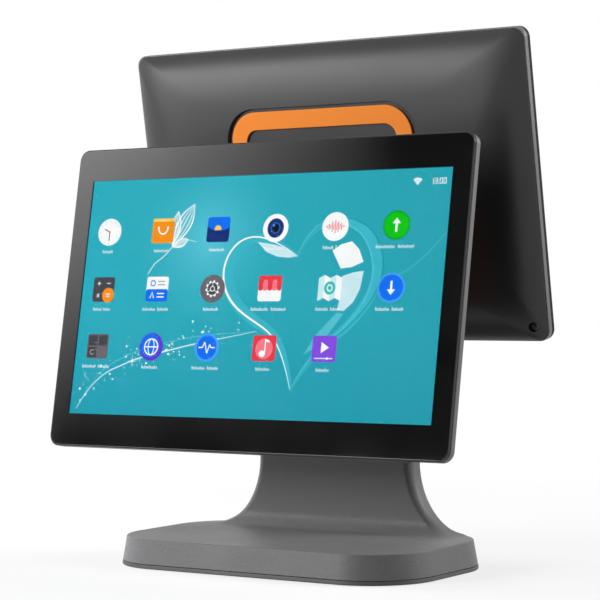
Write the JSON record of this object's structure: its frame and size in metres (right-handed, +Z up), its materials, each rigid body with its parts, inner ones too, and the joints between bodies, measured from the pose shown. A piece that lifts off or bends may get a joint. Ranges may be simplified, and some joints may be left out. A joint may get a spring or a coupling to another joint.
{
  "type": "pos touchscreen terminal",
  "caption": "Dual-screen touch terminal for a sales counter: two tilting displays back to back on a weighted stand with a wide flared neck.",
  "frame": {"origin": "middle of the whole terminal seen from above, on the surface that it stands on; the base is centred on it across and lies 2 mm ahead of it", "axes": "+X to the right of the person at the main display, +Y away from them towards the customer, +Z up"},
  "size_m": [0.378, 0.171, 0.4254],
  "materials": {
    "casting": "sandblasted dark grey",
    "base_plate": "dark textured paint",
    "steel": "zinc plated",
    "circuit_board": "solder mask",
    "socket_black": "moulded",
    "socket_metal": "tin plated",
    "neck_cover": "fine texture",
    "hinge_steel": "black zinc",
    "rubber": "matt",
    "fastener": "black zinc",
    "cover_glass": "polished, black printed border",
    "screen": "lit picture",
    "bezel": "satin black",
    "side_band": "satin anodised grey",
    "housing": "satin dark grey",
    "ring_panel": "matt black",
    "accent": "satin orange",
    "washer": "turned",
    "speaker": "moulded",
    "button": "moulded"
  },
  "bodies": {
    "stand": {"stand_shell": "casting", "base_plate": "base_plate", "ballast_plate": "steel", "io_board": "circuit_board", "power_inlet": "socket_black", "lan_port": "socket_metal", "drawer_port": "socket_black", "audio_jack": "socket_black", "usb_port_1": "socket_metal", "usb_port_2": "socket_metal", "neck_spine": "steel", "neck_rear_cover": "neck_cover", "mast_cap": "neck_cover", "main_clevis": "hinge_steel", "customer_clevis": "hinge_steel", "foot_1": "rubber", "foot_2": "rubber", "foot_3": "rubber", "foot_4": "rubber", "plate_screw_1": "fastener", "plate_screw_2": "fastener", "plate_screw_3": "fastener", "plate_screw_4": "fastener"},
    "main_display": {"main_cover_glass": "cover_glass", "main_lcd_panel": "screen", "main_bezel_frame": "bezel", "main_side_frame": "side_band", "main_chassis": "steel", "main_board": "circuit_board", "main_rear_cover": "housing", "main_ring_panel": "ring_panel", "main_accent_ring": "accent", "main_tilt_bracket": "hinge_steel", "main_hinge_shaft": "hinge_steel", "main_hinge_nut": "hinge_steel", "main_friction_washer_left": "washer", "main_friction_washer_right": "washer", "main_cover_screw_left": "fastener", "main_cover_screw_right": "fastener", "main_heat_spreader": "steel", "main_speaker_left": "speaker", "main_speaker_right": "speaker"},
    "customer_display": {"customer_cover_glass": "cover_glass", "customer_lcd_panel": "screen", "customer_bezel_frame": "bezel", "customer_side_frame": "side_band", "customer_chassis": "steel", "customer_board": "circuit_board", "customer_rear_cover": "housing", "customer_ring_panel": "ring_panel", "customer_accent_ring": "accent", "customer_tilt_bracket": "hinge_steel", "customer_hinge_shaft": "hinge_steel", "customer_hinge_nut": "hinge_steel", "customer_friction_washer_left": "washer", "customer_friction_washer_right": "washer", "customer_cover_screw_left": "fastener", "customer_cover_screw_right": "fastener"},
    "power_button": {"power_button": "button"}
  },
  "joints": [
    {"name": "main_tilt", "type": "hinge", "parent": "stand", "child": "main_display", "pos_m": [0, -0.01722, 0.20958], "axis": [1, 0, 0], "range_deg": [-6, 10]},
    {"name": "customer_tilt", "type": "hinge", "parent": "stand", "child": "customer_display", "pos_m": [0, 0.02067, 0.29597], "axis": [1, 0, 0], "range_deg": [-9, 6]},
    {"name": "power_button_press", "type": "slide", "parent": "main_display", "child": "power_button", "axis": [0, 0.1874, 0.9823], "range_m": [0, 0.0008], "stiffness_N_per_m": 1500}
  ]
}
